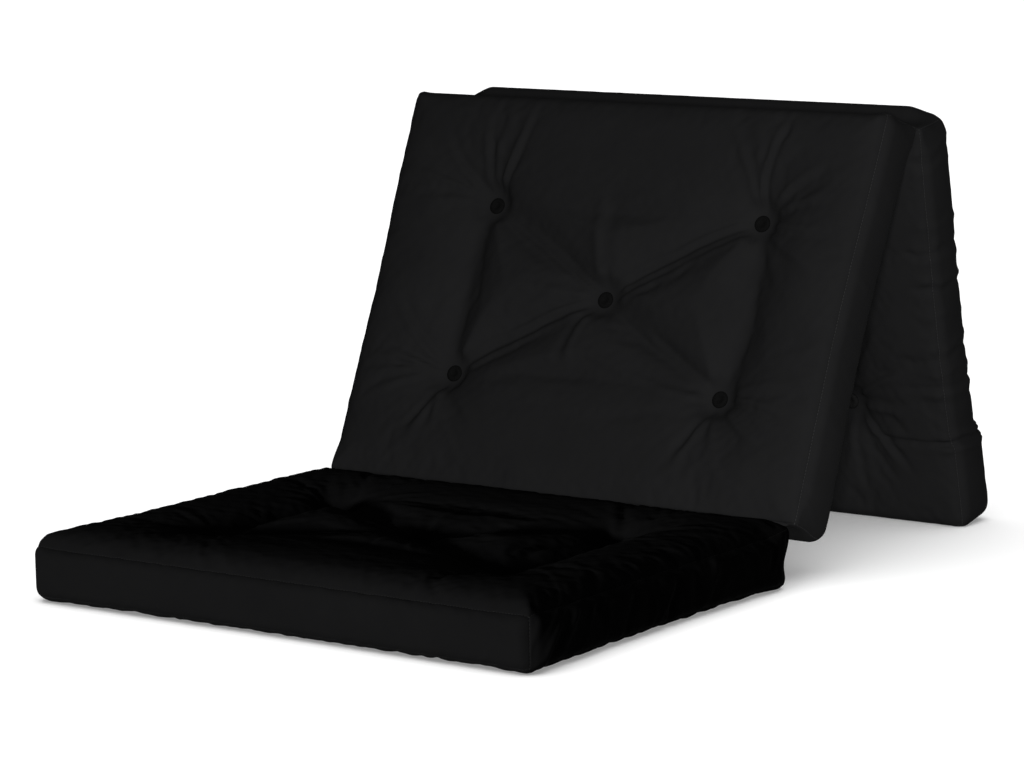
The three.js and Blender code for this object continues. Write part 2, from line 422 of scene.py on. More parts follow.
def inflate(section, casing):
    """Blows the casing up as cloth that its tufts hold down, and returns how far each point moved."""
    flat = casing.flat
    half = section.thickness / 2
    rng = np.random.default_rng(section.seed)
    start = flat.copy()
    held = []
    for tuft in section.tufts:
        distance = np.hypot(flat[:, 0] - tuft.x, flat[:, 1] - tuft.y)
        for sign in (1, -1):
            side = np.where(flat[:, 2] * sign > half - 1e-6)[0]
            depth = half - (abs(tuft.z) - BUTTON_HEIGHT / 2) + 0.001
            start[side, 2] -= sign * depth * np.exp(-((distance[side] / 0.05) ** 1.3))
            nearest = side[np.argsort(distance[side])[:4]]
            start[nearest, 2] = sign * (half - depth)
            held += [int(i) for i in nearest]
    start += rng.normal(0, 0.0006, start.shape)

    cloth = mesh_object("cloth", start, casing.quads)
    cloth.shape_key_add(name="Basis")
    cut = cloth.shape_key_add(name="cut")
    cut.data.foreach_set("co", (flat * 1.015).ravel())
    cut.value = 0
    group = cloth.vertex_groups.new(name="tufts")
    group.add(held, 1.0, "REPLACE")
    modifier = cloth.modifiers.new("cloth", "CLOTH")
    settings = modifier.settings
    for key, value in COTTON_CLOTH.items():
        setattr(settings, key, value)
    settings.use_pressure = True
    settings.uniform_pressure_force = 4
    settings.vertex_group_mass = "tufts"
    settings.rest_shape_key = cut
    settings.effector_weights.gravity = 0
    modifier.collision_settings.use_collision = False
    modifier.collision_settings.use_self_collision = False
    modifier.point_cache.frame_start = 1
    modifier.point_cache.frame_end = SETTLING_STEPS
    scene = bpy.context.scene
    for step in range(1, SETTLING_STEPS + 1):
        scene.frame_set(step)
    evaluated = cloth.evaluated_get(bpy.context.evaluated_depsgraph_get())
    shaped = np.empty(len(flat) * 3)
    evaluated.data.vertices.foreach_get("co", shaped)
    bpy.data.objects.remove(cloth)
    scene.frame_set(1)
    return shaped.reshape(-1, 3) - flat


def smoothed(casing, values, rounds):
    """Values averaged with their neighbours over the cloth, again and again."""
    quads = casing.quads
    one = np.concatenate([quads[:, k] for k in range(4)])
    two = np.concatenate([quads[:, (k + 1) % 4] for k in range(4)])
    count = np.bincount(one, minlength=len(values)) + np.bincount(two, minlength=len(values))
    for _ in range(rounds):
        total = np.zeros_like(values)
        for axis in range(values.shape[1]):
            total[:, axis] = np.bincount(one, values[two, axis], len(values))
            total[:, axis] += np.bincount(two, values[one, axis], len(values))
        values = 0.5 * values + 0.5 * total / count[:, None]
    return values


def resampled(values, old, new, axis):
    """Smooth curve through evenly spaced values along one axis of a grid, read at new places."""
    values = np.moveaxis(values, axis, 0)
    place = (new - old[0]) / (old[1] - old[0])
    low = np.clip(np.floor(place + 1e-9).astype(int), 0, len(old) - 2)
    t = (place - low)[:, None, None]
    before, here, after, beyond = (values[np.clip(low + k, 0, len(old) - 1)] for k in (-1, 0, 1, 2))
    cubic = 3 * (here - after) + beyond - before
    square = 2 * before - 5 * here + 4 * after - beyond
    curve = here + 0.5 * t * (after - before + t * (square + t * cubic))
    return np.moveaxis(curve, 0, axis)


def refine(coarse, fine, moves):
    """The moves of a coarse casing, read on a finer one, side by side."""
    result = np.zeros((len(fine.flat), 3))
    for side, (points, (u, v), _) in coarse.sides.items():
        grid = moves[points]
        grid = resampled(grid, coarse.axes[u], fine.axes[u], 0)
        grid = resampled(grid, coarse.axes[v], fine.axes[v], 1)
        result[fine.sides[side][0]] = grid
    return result


# -------- creases, gathers and seams


def bell(x):
    """1 at 0, falling away on both sides."""
    return np.exp(-(x**2))


def fade(x):
    """1 at 0 and less, falling smoothly to 0 at 1 and more."""
    x = np.clip(x, 0, 1)
    return 1 - x * x * (3 - 2 * x)


def crease(x, y, start, end, bow, width, height):
    """A fold of cloth pulled tight from one point to another: a narrow ridge with a valley on one side."""
    start, end = np.array(start), np.array(end)
    along = end - start
    length = np.hypot(*along)
    along = along / length
    side = np.array([-along[1], along[0]])
    s = ((x - start[0]) * along[0] + (y - start[1]) * along[1]) / length
    middle = bow * 4 * np.clip(s, 0, 1) * (1 - np.clip(s, 0, 1))
    t = (x - start[0]) * side[0] + (y - start[1]) * side[1] - middle
    spread = width * (0.55 + 0.9 * np.clip(s, 0, 1))
    strength = fade((s - 0.62) / 0.38) * fade(-s / 0.06) * np.clip(0.35 + 3 * s, 0, 1)
    ridge = bell(t / spread) - 0.75 * bell((t + 1.9 * spread) / (1.25 * spread))
    return height * strength * ridge


def crease_between(x, y, start, end, bow, width, height):
    """The same, from tuft to tuft, strong along its whole length."""
    half = (np.array(start) + np.array(end)) / 2
    reach = 1.35 * (half - start)
    one = crease(x, y, start, start + reach, bow * 0.6, width, height)
    two = crease(x, y, end, end - reach, -bow * 0.6, width, height)
    return one + two


def valley(x, y, start, end, bow, width, depth):
    """The sharp line between two pillows, from tuft to tuft."""
    start, end = np.array(start), np.array(end)
    along = end - start
    length = np.hypot(*along)
    along = along / length
    s = ((x - start[0]) * along[0] + (y - start[1]) * along[1]) / length
    inside = np.clip(s, 0, 1)
    t = (y - start[1]) * along[0] - (x - start[0]) * along[1] - bow * 4 * inside * (1 - inside)
    beyond = np.maximum(np.abs(s - 0.5) - 0.5, 0) * length
    away = np.sqrt(t**2 + beyond**2 + 0.0012**2)
    return depth * np.exp(-away / width)


# The valleys between the pillows: two tufts, the bow of the line and its depth.
VALLEYS = [
    (4, 3, 0.004, 0.0230),
    (3, 5, 0.010, 0.0230),
    (1, 3, 0.008, 0.0230),
    (3, 2, -0.002, 0.0230),
    (4, 1, -0.010, 0.0250),
    (5, 2, 0.022, 0.0250),
    (4, 5, -0.006, 0.0090),
    (1, 2, 0.006, 0.0100),
]

# Folds pulled from the tufts of the back's face: tuft number, where each fold ends, its bow,
# its width and its height.
BACK_FOLDS = [
    (4, (-0.196, 0.328), -0.010, 0.0050, 0.0042),
    (4, (-0.285, 0.310), 0.006, 0.0060, 0.0024),
    (4, (-0.240, 0.300), 0.004, 0.0070, 0.0018),
    (4, (-0.373, 0.257), 0.008, 0.0060, 0.0028),
    (4, (-0.440, 0.187), -0.006, 0.0045, 0.0030),
    (4, (-0.420, 0.120), -0.006, 0.0070, 0.0014),
    (5, (0.285, 0.330), 0.012, 0.0050, 0.0040),
    (5, (0.163, 0.320), -0.008, 0.0070, 0.0022),
    (5, (0.225, 0.310), -0.004, 0.0060, 0.0018),
    (5, (0.395, 0.250), 0.010, 0.0060, 0.0026),
    (5, (0.430, 0.190), 0.008, 0.0055, 0.0022),
    (5, (0.440, 0.130), -0.008, 0.0060, 0.0026),
    (5, (0.420, 0.060), -0.012, 0.0070, 0.0024),
    (5, (0.350, 0.020), -0.010, 0.0070, 0.0018),
    (1, (-0.400, -0.017), 0.010, 0.0060, 0.0028),
    (1, (-0.440, -0.099), 0.006, 0.0055, 0.0034),
    (1, (-0.440, -0.135), -0.004, 0.0050, 0.0028),
    (1, (-0.435, -0.175), -0.006, 0.0055, 0.0034),
    (1, (-0.420, -0.220), -0.008, 0.0060, 0.0024),
    (1, (-0.290, -0.280), 0.006, 0.0060, 0.0034),
    (1, (-0.236, -0.260), -0.006, 0.0060, 0.0026),
    (1, (-0.150, -0.230), -0.010, 0.0080, 0.0018),
    (2, (0.440, -0.180), 0.008, 0.0055, 0.0036),
    (2, (0.440, -0.120), 0.008, 0.0065, 0.0024),
    (2, (0.386, -0.225), -0.008, 0.0060, 0.0028),
    (2, (0.203, -0.290), 0.010, 0.0060, 0.0036),
    (2, (0.288, -0.240), -0.006, 0.0060, 0.0028),
    (2, (0.053, -0.116), 0.010, 0.0070, 0.0022),
    (3, (-0.030, 0.190), 0.008, 0.0100, 0.0022),
    (3, (-0.020, -0.140), -0.012, 0.0070, 0.0026),
]
# Folds from tuft to tuft: the two tufts, how far aside each fold lies, its bow, width and height.
BACK_TIES = [
    (4, 3, 0.004, 0.004, 0.0040, 0.0034),
    (4, 3, -0.006, -0.002, 0.0036, 0.0022),
    (3, 5, 0.006, 0.016, 0.0048, 0.0034),
    (3, 5, -0.004, 0.006, 0.0048, 0.0032),
    (3, 5, -0.014, -0.004, 0.0060, 0.0020),
    (1, 3, 0.006, 0.012, 0.0048, 0.0036),
    (1, 3, -0.008, 0.002, 0.0048, 0.0030),
    (3, 2, 0.002, -0.002, 0.0042, 0.0030),
]


def chance_folds(section, rng, strength):
    """A fan of folds round each tuft, and folds between tufts, left to chance."""
    folds, ties = [], []
    margin = 0.012  # how far short of the seams the folds end
    half_width, half_length = section.width / 2 - margin, section.length / 2 - margin
    for number in range(1, 6):
        tuft = section.tufts[number - 1]
        turn = rng.uniform(0, 2 * math.pi)
        count = int(rng.integers(8, 12))
        for k in range(count):
            angle = turn + 2 * math.pi * (k + rng.uniform(-0.3, 0.3)) / count
            reach = rng.uniform(0.10, 0.22)
            end = (
                float(np.clip(tuft.x + reach * math.cos(angle), -half_width, half_width)),
                float(np.clip(tuft.y + reach * math.sin(angle), -half_length, half_length)),
            )
            bow, width = rng.uniform(-0.014, 0.014), rng.uniform(0.0045, 0.0080)
            folds.append((number, end, bow, width, strength * rng.uniform(0.0014, 0.0038)))
    for a, b in ((1, 3), (2, 3), (3, 4), (3, 5), (1, 4), (2, 5)):
        for _ in range(int(rng.integers(1, 4))):
            aside, bow = rng.uniform(-0.012, 0.012), rng.uniform(-0.012, 0.012)
            width, height = rng.uniform(0.0038, 0.0060), strength * rng.uniform(0.0018, 0.0034)
            ties.append((a, b, aside, bow, width, height))
    return folds, ties


def fold_relief(section, x, y, folds, ties):
    """The height of all folds pulled from the tufts."""
    relief = np.zeros_like(x)
    for number, end, bow, width, height in folds:
        tuft = section.tufts[number - 1]
        relief += crease(x, y, (tuft.x, tuft.y), end, bow, width, FOLD_FULLNESS * height)
    for a, b, aside, bow, width, height in ties:
        one = np.array(section.tufts[a - 1].xy)
        two = np.array(section.tufts[b - 1].xy)
        across = (two - one)[::-1] * (-1, 1) / np.hypot(*(two - one)) * aside
        relief += crease_between(x, y, one + across, two + across, bow, width, FOLD_FULLNESS * height)
    return relief


def tuft_relief(section, x, y, rng):
    """Small radial puckers close round each button."""
    relief = np.zeros_like(x)
    for tuft in section.tufts:
        distance = np.hypot(x - tuft.x, y - tuft.y)
        angle = np.arctan2(y - tuft.y, x - tuft.x)
        puckers = int(rng.integers(9, 14))
        shift = rng.uniform(0, 2 * math.pi)
        wave = np.cos(puckers * angle + shift) + 0.5 * np.cos((puckers + 5) * angle - 2 * shift)
        band = fade((distance - 0.018) / 0.045) * (1 - fade((distance - 0.008) / 0.010))
        relief += 0.0012 * wave * band
    return relief


def gathers(s, d, low, high, rng, spacing, reach, height):
    """Short pleats that run in from a seam. s is the place along it and d the distance from it."""
    relief = np.zeros_like(s)
    band = d < reach * 2.6
    s_band, d_band = s[band], d[band]
    total = np.zeros_like(s_band)
    drift, drift_length = rng.uniform(0, 6), rng.uniform(0.10, 0.16)
    place = low + rng.uniform(0, spacing)
    while place < high:
        width = rng.uniform(0.20, 0.34) * spacing
        length = reach * rng.uniform(0.7, 2.4)
        lean = 0.9 * math.sin(place / drift_length + drift) + rng.normal(0, 0.15)
        curl = rng.uniform(-6, 6)
        patch = 0.35 + 0.65 * (0.5 + 0.5 * math.sin(place / 0.055 + 2 * drift))
        size = height * patch * rng.choice((1.0, -0.8)) * rng.uniform(0.3, 1.2)
        close = np.abs(s_band - place) < 0.03 + 5 * width + 2.6 * reach
        sc, dc = s_band[close], d_band[close]
        across = (sc - place - lean * dc - curl * dc * dc) / (width * (1 + 0.8 * dc / length))
        rise = 1 - fade(dc / 0.022)
        total[close] += size * bell(across) * fade(dc / length) * rise
        place += spacing * rng.uniform(0.45, 1.6)
    relief[band] = total
    return relief


def strip_wrinkles(s, d, low, high, rng, spacing, height):
    """Wrinkles that cross the boxing from seam to seam."""
    relief = np.zeros_like(s)
    place = low + rng.uniform(0, spacing)
    while place < high:
        width = rng.uniform(0.005, 0.013)
        lean = rng.normal(0, 0.35)
        size = height * rng.uniform(-1.0, 1.0)
        middle, reach = rng.uniform(-0.03, 0.03), rng.uniform(0.02, 0.06)
        wave = bell((s - place - lean * d - 0.004 * np.sin(d / 0.012 + place)) / width)
        relief += size * wave * bell((d - middle) / reach)
        place += spacing * rng.uniform(0.3, 1.7)
    return relief


# Creases that wrap round the prop's long sides: place from its top as a share of its length,
# lean, reach onto each face, width and height.
PROP_CREASES = [
    (0.055, -0.60, 0.050, 0.0045, 0.0022),
    (0.080, -0.45, 0.040, 0.0045, -0.0020),
    (0.105, -0.30, 0.035, 0.0050, 0.0016),
    (0.245, 0.10, 0.060, 0.0060, 0.0030),
    (0.305, -0.35, 0.090, 0.0055, -0.0034),
    (0.330, -0.10, 0.060, 0.0065, 0.0026),
    (0.385, 0.25, 0.090, 0.0060, 0.0040),
    (0.402, 0.25, 0.090, 0.0055, -0.0034),
    (0.470, 0.05, 0.050, 0.0070, 0.0018),
    (0.545, -0.30, 0.100, 0.0065, 0.0028),
    (0.570, -0.25, 0.100, 0.0060, -0.0028),
    (0.610, -0.12, 0.090, 0.0055, 0.0032),
    (0.648, -0.15, 0.120, 0.0060, -0.0036),
    (0.664, -0.15, 0.100, 0.0060, 0.0030),
    (0.690, 0.05, 0.080, 0.0060, -0.0022),
    (0.775, 0.10, 0.200, 0.0055, 0.0055),
    (0.790, 0.08, 0.200, 0.0050, -0.0090),
    (0.806, 0.12, 0.160, 0.0060, 0.0040),
]


def wrapped_creases(section, flat, to_edge):
    """Creases that run round the long sides and die away on the faces."""
    relief = np.zeros(len(flat))
    for place, lean, reach, width, height in PROP_CREASES:
        away = to_edge[:, 0]
        inwards = np.sign(flat[:, 2]) * lean * (section.thickness / 2 - to_edge[:, 2])
        line = (place - 0.5) * section.length + 0.35 * inwards + 0.05 * lean * away
        wave = bell((flat[:, 1] - line - 0.003 * np.sin(flat[:, 2] / 0.015 + 40 * place)) / width)
        relief += (0.75 - 0.35 * fade(away / 0.012)) * height * wave * fade(away / reach)
    return relief


def rounded(flat, half_sizes, radius):
    """The box with rounded edges, and the way out of it at every point."""
    inner = np.clip(flat, -(half_sizes - radius[:, None]), half_sizes - radius[:, None])
    way = flat - inner
    way /= np.linalg.norm(way, axis=1)[:, None]
    return inner + radius[:, None] * way, way


def edge_radius(section, flat):
    """The rounding of the edges: full, but tighter where a fold joins the edge to its neighbour."""
    half = section.half
    radius = np.full(len(flat), EDGE_ROUND)
    for end, side in section.facts["folds"]:
        sign = 1 if end == "far" else -1
        distance = np.hypot(half[1] - sign * flat[:, 1], half[2] - side * flat[:, 2])
        radius -= (EDGE_ROUND - FOLD_ROUND) * fade((distance - 0.012) / 0.05)
    return radius


def relief_of(section, casing):
    """All folds, gathers and wrinkles of a section, as a height out of the cloth."""
    rng = np.random.default_rng(section.seed + 100)
    facts = section.facts
    flat = casing.flat
    half = section.half
    to_edge = half - np.abs(flat)
    relief = np.zeros(len(flat))
    for side in ("face", "under"):
        points = casing.sides[side][0].ravel()
        x, y = flat[points, 0], flat[points, 1]
        folds, ties = chance_folds(section, rng, facts["chance"])
        if section.name == "back" and side == "face":
            folds, ties = BACK_FOLDS, BACK_TIES
        height = fold_relief(section, x, y, folds, ties) + tuft_relief(section, x, y, rng)
        edge = np.minimum(to_edge[points, 0], to_edge[points, 1])
        height *= 1 - 0.85 * fade(edge / 0.03)
        for axis in (0, 1):
            for sign in (1, -1):
                d = half[axis] - sign * flat[points, axis]
                s = flat[points, 1 - axis]
                low, high = -half[1 - axis], half[1 - axis]
                height += gathers(s, d, low, high, rng, *facts[side + "_gathers"])
        relief[points] = height
    for side in ("near", "far", "left", "right"):
        points = casing.sides[side][0].ravel()
        axis = 0 if side in ("near", "far") else 1
        s, z = flat[points, axis], flat[points, 2]
        height = strip_wrinkles(s, z, -half[axis], half[axis], rng, 0.030, facts["strip"][side])
        for sign in (1, -1):
            d = half[2] - sign * z
            pleats = gathers(s, d, -half[axis], half[axis], rng, *facts["boxing_gathers"])
            height += facts["pleats"][side] * pleats
        keep = 1 - fade(np.minimum(to_edge[points, 2], to_edge[points, axis]) / 0.012)
        relief[points] = np.where(keep > 0, height * keep, relief[points])
    if section.name == "prop":
        relief += 1.5 * wrapped_creases(section, flat, to_edge)
    rim = np.minimum(to_edge[:, 2] + to_edge[:, 0], to_edge[:, 2] + to_edge[:, 1])
    corner = to_edge[:, 0] + to_edge[:, 1]
    seam = np.minimum(rim, corner)
    relief -= SEAM_SINK * bell(seam / SEAM_WIDTH)
    return relief


# -------- a padded section


def swelling_of(section, coarse, fine):
    """What is kept of the simulated cloth: its wrinkles, some of its swelling, and its drawn-in sides."""
    half = section.half
    moves = inflate(section, coarse)
    broad = smoothed(coarse, moves, SMOOTHING_ROUNDS)
    detail = section.facts["wrinkles"] * (moves - broad)
    near_edge = half[:2] - np.abs(coarse.flat[:, :2])
    calm = fade(near_edge.min(axis=1) / 0.04)[:, None]
    detail[:, :2] *= 1 - 0.88 * calm
    detail[:, 2:] *= 1 - 0.5 * calm
    broad[:, :2] *= EDGE_PULL
    for axis, pair in ((0, ("left", "right")), (1, ("near", "far"))):
        low, high = (broad[coarse.sides[side][0], axis].mean() for side in pair)
        broad[:, axis] -= (high - low) / 2 * coarse.flat[:, axis] / half[axis]
    for side in section.joined:
        sign = 1 if side == "far" else -1
        from_fold = half[1] - sign * coarse.flat[:, 1]
        broad[:, 1] *= 1 - fade(from_fold / 0.10)
        detail[:, 1] *= 1 - 0.9 * fade(from_fold / 0.03)
    up = coarse.flat[:, 2] / half[2]
    swelling = np.maximum(np.sign(up) * broad[:, 2] - SWELL_LEVEL, -0.008)
    broad[:, 2] = SWELL_SHARE * swelling * up
    broad[:, 2] *= 1 - fade(near_edge.min(axis=1) / 0.03)
    return refine(coarse, fine, broad + detail)


def padded_section(section):
    """The whole soft body of a section: its two covers, its boxing and the batting they hold."""
    sizes = (section.width, section.length, section.thickness)
    half = section.half
    coarse = Casing(*(spaced(size, CLOTH_CELL) for size in sizes))
    fine = Casing(*(spaced(size, FINE_CELL, EDGE_ROWS) for size in sizes))

    moves = swelling_of(section, coarse, fine)
    moves[:, 2] += pillows(section, fine.flat)

    radius = edge_radius(section, fine.flat)
    shape, way = rounded(fine.flat, half, radius)
    shape = shape + moves + relief_of(section, fine)[:, None] * way
    shape[:, 2] = pressed(section, shape[:, 2], fine.flat)
    shape = shape + settled(section, fine.flat)
    shape = held_by_tufts(section, fine.flat, shape)
    points = section.world(shape)
    if section.name in ("seat", "prop"):
        points[:, 2] = on_floor(points[:, 2])

    pad = mesh_object(f"{section.name}_padding", points, fine.quads, fine.cloth)
    pad.data.materials.append(COTTON)
    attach(pad, section.name)
    covers = [n for n in section.node_names if n.endswith(("_cover", "_boxing", "_batting"))]
    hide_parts(*covers)
    thread = stitches(section, fine, points)
    if section.name == "seat":
        for soft in (pad, thread):
            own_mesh(soft)


def seam_lines(section, casing, points):
    """Every open seam as a chain of points: along the rims and down the corners."""
    half = section.half
    chains = []
    for axis in range(3):
        one, two = (a for a in range(3) if a != axis)
        for side_one in (-1, 1):
            for side_two in (-1, 1):
                end = "far" if side_one > 0 else "near"
                if axis == 0 and end in section.joined:
                    continue
                here = np.abs(casing.flat[:, one] - side_one * half[one]) < 1e-6
                here &= np.abs(casing.flat[:, two] - side_two * half[two]) < 1e-6
                chain = np.nonzero(here)[0]
                chains.append(points[chain[np.argsort(casing.flat[chain, axis])]])
    return chains


def stitch_tree():
    """Geometry nodes that lay one stitch after another along a chain of edges."""
    tree = bpy.data.node_groups.new("lay_stitches", "GeometryNodeTree")
    sockets = tree.interface
    sockets.new_socket("Geometry", in_out="OUTPUT", socket_type="NodeSocketGeometry")
    sockets.new_socket("Geometry", in_out="INPUT", socket_type="NodeSocketGeometry")
    for name in ("Spacing", "Length", "Radius"):
        sockets.new_socket(name, in_out="INPUT", socket_type="NodeSocketFloat")
    sockets.new_socket("Seed", in_out="INPUT", socket_type="NodeSocketInt")
    sockets.new_socket("Thread", in_out="INPUT", socket_type="NodeSocketMaterial")
    given = add_node(tree, "NodeGroupInput")
    result = add_node(tree, "NodeGroupOutput")
    curve = add_node(tree, "GeometryNodeMeshToCurve")
    even = add_node(tree, "GeometryNodeResampleCurve", {"mode": "LENGTH"})
    stitch = add_node(tree, "GeometryNodeMeshCylinder", Vertices=6)
    tangent = add_node(tree, "GeometryNodeInputTangent")
    turn = add_node(tree, "FunctionNodeAlignRotationToVector", {"axis": "Z"})
    vary = add_node(tree, "FunctionNodeRandomValue", {"data_type": "FLOAT"})
    low, high = (
        next(i for i in vary.inputs if i.name == name and i.type == "VALUE") for name in ("Min", "Max")
    )
    low.default_value, high.default_value = 0.85, 1.1
    size = next(o for o in vary.outputs if o.type == "VALUE")
    lay = add_node(tree, "GeometryNodeInstanceOnPoints")
    real = add_node(tree, "GeometryNodeRealizeInstances")
    paint = add_node(tree, "GeometryNodeSetMaterial")
    for giver, taker in (
        (given.outputs["Geometry"], curve.inputs[0]),
        (curve.outputs[0], even.inputs["Curve"]),
        (given.outputs["Spacing"], even.inputs["Length"]),
        (given.outputs["Radius"], stitch.inputs["Radius"]),
        (given.outputs["Length"], stitch.inputs["Depth"]),
        (given.outputs["Seed"], vary.inputs["Seed"]),
        (tangent.outputs[0], turn.inputs["Vector"]),
        (even.outputs[0], lay.inputs["Points"]),
        (stitch.outputs["Mesh"], lay.inputs["Instance"]),
        (turn.outputs["Rotation"], lay.inputs["Rotation"]),
        (size, lay.inputs["Scale"]),
        (lay.outputs[0], real.inputs[0]),
        (real.outputs[0], paint.inputs["Geometry"]),
        (given.outputs["Thread"], paint.inputs["Material"]),
        (paint.outputs[0], result.inputs[0]),
    ):
        tree.links.new(giver, taker)
    return tree


def stitches(section, casing, points):
    """The sewing thread of a section's open seams."""
    chains = seam_lines(section, casing, points)
    places, edges = [], []
    for chain in chains:
        first = len(places)
        places += [tuple(map(float, place)) for place in chain]
        edges += [(first + i, first + i + 1) for i in range(len(chain) - 1)]
    guide_mesh = bpy.data.meshes.new(f"{section.name}_seam_lines")
    guide_mesh.from_pydata(places, edges, [])
    guide = placed(f"{section.name}_seam_lines", guide_mesh)
    tree = bpy.data.node_groups.get("lay_stitches") or stitch_tree()
    laying = guide.modifiers.new("stitches", "NODES")
    laying.node_group = tree
    wanted = {
        "Spacing": STITCH_SPACING,
        "Length": STITCH_LENGTH,
        "Radius": STITCH_RADIUS,
        "Seed": section.seed,
        "Thread": THREAD,
    }
    for socket in tree.interface.items_tree:
        if socket.in_out == "INPUT" and socket.name in wanted:
            laying[socket.identifier] = wanted[socket.name]
    bpy.context.view_layer.update()
    ready = guide.evaluated_get(bpy.context.evaluated_depsgraph_get())
    mesh = bpy.data.meshes.new_from_object(ready)
    guide.modifiers.remove(laying)
    bpy.data.objects.remove(guide)
    thread = placed(f"{section.name}_seam_stitches", mesh)
    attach(thread, section.name)
    return thread


def pillows(section, flat):
    """The pillows of both faces: full between the tufts, with sharp valleys from tuft to tuft."""
    x, y, z = flat.T
    half = section.half
    full = section.facts["crown"]
    valleys = np.zeros(len(flat))
    for a, b, bow, depth in VALLEYS:
        one, two = section.tufts[a - 1].xy, section.tufts[b - 1].xy
        valleys = np.maximum(valleys, valley(x, y, one, two, bow, VALLEY_WIDTH, depth))
    bowls = np.zeros(len(flat))
    for tuft in section.tufts:
        depth = half[2] - abs(tuft.z) + BUTTON_HEIGHT / 2 + full
        distance = np.hypot(x - tuft.x, y - tuft.y)
        bowls = np.maximum(bowls, depth * np.exp(-((distance / BOWL_WIDTH) ** 1.15)))
    valleys *= section.facts["valleys"]
    sunk = (valleys**4 + bowls**4) ** 0.25
    edge = np.minimum(half[0] - np.abs(x), half[1] - np.abs(y))
    risen = 1 - np.exp(-((np.maximum(edge, 0) / CROWN_RISE) ** 1.4))
    crown = np.where(z > 0, full, 0.0) * risen
    share = np.where(z > 0, 1.0, 0.8) * (1 - fade(edge / 0.05))
    on_face = np.abs(z) > half[2] - 1e-6
    return np.where(on_face, np.sign(z) * (crown - sunk * share), 0.0)


def pressed(section, height, flat):
    """Presses what stands above a face's edges down to its crown, so the folded mattress closes."""
    half = section.thickness / 2
    crown = np.where(flat[:, 2] > 0, section.facts["crown"] + 0.001, UNDER_CROWN)
    over = np.maximum(np.abs(height) - half, 0)
    low = half + crown * np.tanh(over / crown)
    return np.where(over > 0, np.sign(height) * low, height)


def held_by_tufts(section, flat, shape):
    """Brings the bottom of each dimple exactly under its button, and keeps the cloth off the foam."""
    shape = shape.copy()
    face = np.abs(flat[:, 2]) > section.thickness / 2 - 1e-6
    sign = np.sign(flat[:, 2])
    core_top = section.core_top
    foam = np.full(len(flat), core_top)
    for tuft in section.tufts:
        level = abs(tuft.z) - BUTTON_HEIGHT / 2 - 0.001
        distance = np.hypot(flat[:, 0] - tuft.x, flat[:, 1] - tuft.y)
        share = fade((distance - 0.012) / 0.030) * face
        shape[:, 2] += share * (sign * level - shape[:, 2])
        shape[:, :2] += share[:, None] * (flat[:, :2] - shape[:, :2])
        flare = np.clip((distance / 0.95 - BUTTON_RADIUS - 0.001) / 0.0475, 0, 1)
        foam -= (core_top - level + 0.0055) * (1 - flare) ** 2
    over = np.abs(shape[:, 2]) - foam - 0.003
    lifted = np.abs(shape[:, 2]) + 0.002 * np.log1p(np.exp(-over / 0.002))
    inside = face & (over < 0.02) & (np.abs(shape[:, 2]) > 0)
    shape[inside, 2] = (sign * lifted)[inside]
    return shape


def settled(section, flat):
    """The slow bends of each section under its own weight and its neighbours' push."""
    half = section.half
    moves = np.zeros_like(flat)
    u = flat[:, 0] / half[0]
    v = flat[:, 1] / half[1] * 0.5 + 0.5
    t = flat[:, 2] / half[2] * 0.5 + 0.5
    up_middle = np.sin(np.pi * t)
    full = 0.0035 * up_middle * (1 - fade(np.minimum(v, 1 - v) / 0.06))
    moves[:, 0] += full * np.sign(u) * (1 - fade((np.abs(u) - 0.80) / 0.20))
    near = fade(flat[:, 1] / 0.05 + half[1] / 0.05)
    far = fade(half[1] / 0.05 - flat[:, 1] / 0.05)
    across = 1 - fade((1 - np.abs(u)) / 0.05)
    if section.name == "seat":
        moves[:, 1] -= 0.003 * up_middle * near * across
        moves[:, 1] -= 0.012 * bell((t - 0.34) / 0.36) * far
        moves[:, 0] += 0.018 * fade((1 - v) / 0.40) * fade((u + 1) / 0.38)
        moves[:, 0] -= 0.011 * fade(v / 0.30) * fade((u + 1) / 0.25)
        moves[:, 1] -= 0.004 * fade(v / 0.15)
        moves[:, 0] += 0.005 * fade((1 - v) / 0.25) * fade((1 - u) / 0.25) * (1 - t)
    if section.name == "back":
        moves[:, 1] -= 0.0085 * bell((t - 0.32) / 0.30) * near
        moves[:, 1] -= 0.019 * bell((t - 0.60) / 0.28) * far * (1 - fade((1 - np.abs(u)) / 0.07))
        moves[:, 0] += 0.024 * (1 - v) ** 1.5 * fade((u + 1) / 0.38)
        moves[:, 0] -= 0.006 * v**2 * fade((u + 1) / 0.30)
        moves[:, 0] += 0.013 * (1 - v) ** 2 * fade((1 - u) / 0.28) * (1 - 0.7 * t)
    if section.name == "prop":
        moves[:, 1] -= 0.0175 * bell((t - 0.62) / 0.24) * near * (1 - fade((1 - np.abs(u)) / 0.12))
        moves[:, 1] += 0.006 * far
        below = 1 - fade((v - 0.76) / 0.05)
        moves[:, 0] += 0.007 * below * np.sign(u) * fade((1 - np.abs(u)) / 0.25)
        moves[:, 2] += 0.006 * below * (1 - fade((t - 0.6) / 0.4)) * fade((1 - np.abs(u)) / 0.9)
    return moves


def on_floor(height):
    """Cloth that would go below the floor lies on it."""
    low = FLOOR_CLEARANCE
    return np.where(height < low, low * np.exp((height - low) / 0.004), height)


# -------- buttons and twine


